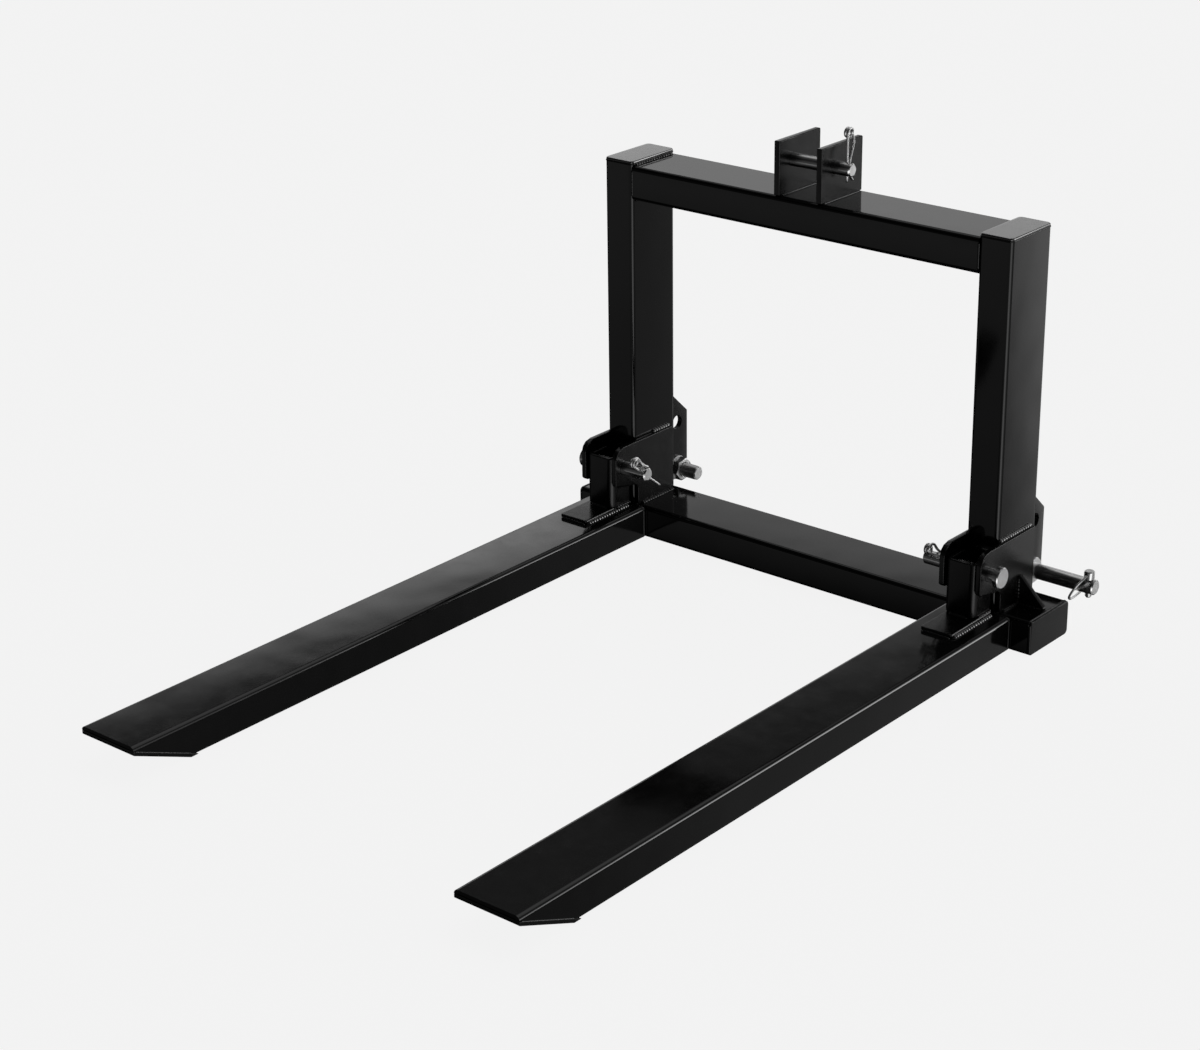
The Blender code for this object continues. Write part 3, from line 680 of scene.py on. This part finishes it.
def nut(label):
    """Hex nut with chamfered corners and a countersunk bore."""
    low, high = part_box("hitch_nut_" + label)
    cy, cz = hitch_axis(label)
    face_r = NUT_FLAT * 0.965
    slope = math.tan(math.radians(30.0))
    bm = bmesh.new()

    def hex_radius(a):
        local = (math.degrees(a) - NUT_TURN) % 60.0 - 30.0
        return NUT_FLAT / math.cos(math.radians(local))

    def ring(x, radius_at):
        verts = []
        for i in range(NUT_SIDES):
            a = 2.0 * math.pi * i / NUT_SIDES
            r = radius_at(a)
            at = x(a) if callable(x) else x
            verts.append(bm.verts.new((at, cy + r * math.cos(a), cz + r * math.sin(a))))
        return verts

    def chamfer(x, sign):
        return lambda a: x + sign * max(0.0, hex_radius(a) - face_r) * slope

    rings = [
        ring(low.x + NUT_SINK, lambda a: NUT_BORE),
        ring(low.x, lambda a: NUT_BORE + 0.0008),
        ring(low.x, lambda a: face_r),
        ring(chamfer(low.x, 1.0), hex_radius),
        ring(chamfer(high.x, -1.0), hex_radius),
        ring(high.x, lambda a: face_r),
        ring(high.x, lambda a: NUT_BORE + 0.0008),
        ring(high.x - NUT_SINK, lambda a: NUT_BORE),
    ]
    for a, b in zip(rings, rings[1:] + rings[:1]):
        bridge(bm, a, b)
    obj = add_piece("hex_nut_" + label, bm, PIN_ZINC, "frame", 28.0)
    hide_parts("hitch_nut_" + label)


# ---------------------------------------------------------------- assemble
TUBES = ("post_left", "post_right", "top_beam", "base_beam")
PLATES = ("side_plate_", "gusset_", "hitch_lug_", "top_link_ear_", "fork_bracket_", "fork_pad_")
FORKS = ("fork_tube_", "fork_tip_plate_", "fork_heel_cap_")
PINS = ("hitch_pin_", "hitch_washer_", "pivot_pin_", "top_link_pin", "linchpin_left",
        "linchpin_right")
CLIPS = ("pivot_clip_left", "pivot_clip_right", "top_link_clip")
RINGS = ("linchpin_ring_left", "linchpin_ring_right")

dress(TUBES, TUBE_PAINT)
dress(("post_cap_",), CAP_PAINT)
dress(PLATES, PLATE_PAINT)
dress(FORKS, FORK_PAINT)
dress(PINS, PIN_ZINC, SMOOTH_PIN)
dress(CLIPS + RINGS, WIRE_ZINC, None)
for wire_name in CLIPS:
    round_wire(NODES[wire_name], *CLIP_WIRE)
for wire_name in RINGS:
    round_wire(NODES[wire_name], *RING_WIRE)

for label, side in SIDES:
    side_plate_welds(label, side)
    post_welds(label, side)
    base_cap_welds(label, side)
    gusset_welds(label, side)
    lug_welds(label)
    ear_welds(label)
    fork_welds(label)
    tip_weld(label)
    thread(label, side)
    nut(label)

for index, (label, side) in enumerate(SIDES):
    outer_x, inner_x = post_faces(side)
    plate_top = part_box("side_plate_%s_outer" % label)[1].z
    spots = [
        ((outer_x, 0.0, plate_top + 0.010), (side, 0.0, 0.0)),
        ((inner_x, 0.012, plate_top + 0.010), (-side, 0.0, 0.0)),
    ]
    spatter("spatter_" + label, spots, "frame", 11 + index, 5)


# ---------------------------------------------------------------- studio
def studio_world():
    """Light by direction: bright wall behind, dark room in front, soft overhead."""
    world = bpy.data.worlds.new("studio")
    bpy.context.scene.world = world
    world.use_nodes = True
    g = Graph(world.node_tree)
    background = world.node_tree.nodes["Background"]
    output = world.node_tree.nodes["World Output"]
    direction = g.add("ShaderNodeTexCoord").outputs["Generated"]
    parts = g.add("ShaderNodeSeparateXYZ")
    g.link(direction, parts.inputs[0])
    x, y, z = parts.outputs["X"], parts.outputs["Y"], parts.outputs["Z"]

    sky = g.ramp(z, SKY)
    panel = g.ramp(z, PANEL)
    panel = g.math("MULTIPLY", panel, g.span(x, -0.575, -0.607, 0.0, 1.0))
    sky = g.math("ADD", sky, panel)
    sky = g.math("MULTIPLY", sky, g.span(y, -0.05, 0.45, 0.05, 1.0))

    depth = g.math("MULTIPLY", z, -1.0)
    room = g.ramp(depth, ROOM)
    ahead = g.span(y, -1.0, 1.0, 0.0, 1.0)
    wall = g.ramp(ahead, WALL)
    right = g.math("MULTIPLY", g.span(x, 0.0, 0.3, 0.0, 1.0), g.span(y, -0.65, -0.40, 0.0, 1.0))
    room = g.math("MULTIPLY", room, g.span(y, -0.30, -0.60, 0.15, 1.0))
    ground = g.mix(right, room, wall)
    level = g.mix(g.span(z, -0.02, 0.02, 0.0, 1.0), ground, sky)

    for aim, start, stop, peak in LOBES:
        lobe = g.add("ShaderNodeVectorMath", operation="DOT_PRODUCT")
        g.link(direction, lobe.inputs[0])
        lobe.inputs[1].default_value = Vector(aim).normalized()
        level = g.math("ADD", level, g.span(lobe.outputs["Value"], start, stop, 0.0, peak))
    g.link(level, background.inputs["Color"])

    plain = g.add("ShaderNodeBackground")
    plain.inputs["Color"].default_value = grey(FLOOR_TONE)
    seen = g.add("ShaderNodeLightPath").outputs["Is Camera Ray"]
    choose = g.add("ShaderNodeMixShader")
    g.link(seen, choose.inputs[0])
    g.link(background.outputs[0], choose.inputs[1])
    g.link(plain.outputs[0], choose.inputs[2])
    g.link(choose.outputs[0], output.inputs["Surface"])


def floor():
    """Plain pale sweep that the part stands on."""
    mat = bpy.data.materials.new("studio_floor")
    mat.use_nodes = True
    shader = mat.node_tree.nodes["Principled BSDF"]
    shader.inputs["Base Color"].default_value = grey(FLOOR_ALBEDO)
    shader.inputs["Roughness"].default_value = 1.0
    shader.inputs["Specular IOR Level"].default_value = 0.0
    shader.inputs["Emission Color"].default_value = grey(1.0)
    shader.inputs["Emission Strength"].default_value = FLOOR_GLOW
    bm = bmesh.new()
    bmesh.ops.create_circle(bm, cap_ends=True, radius=FLOOR_R, segments=64)
    mesh = bpy.data.meshes.new("floor")
    bm.to_mesh(mesh)
    bm.free()
    mesh.materials.append(mat)
    obj = bpy.data.objects.new("floor", mesh)
    bpy.context.scene.collection.objects.link(obj)
    obj.visible_glossy = False
    obj.visible_diffuse = False


def camera():
    a = math.radians(CAMERA_AZIMUTH)
    e = math.radians(CAMERA_ELEVATION)
    right = Vector((math.cos(a), math.sin(a), 0.0))
    back = Vector((math.sin(a) * math.cos(e), -math.cos(a) * math.cos(e), math.sin(e)))
    up = back.cross(right)
    r = math.radians(CAMERA_ROLL)
    x = right * math.cos(r) + up * math.sin(r)
    y = up * math.cos(r) - right * math.sin(r)
    data = bpy.data.cameras.new("camera")
    data.sensor_width = 36.0
    data.sensor_fit = "HORIZONTAL"
    data.lens = CAMERA_LENS
    data.clip_end = 100.0
    obj = bpy.data.objects.new("camera", data)
    bpy.context.scene.collection.objects.link(obj)
    rotation = Matrix((x, y, back)).transposed()
    obj.matrix_world = Matrix.Translation(CAMERA_AT) @ rotation.to_4x4()
    bpy.context.scene.camera = obj


studio_world()
floor()
camera()
bpy.context.scene.view_settings.view_transform = "Standard"
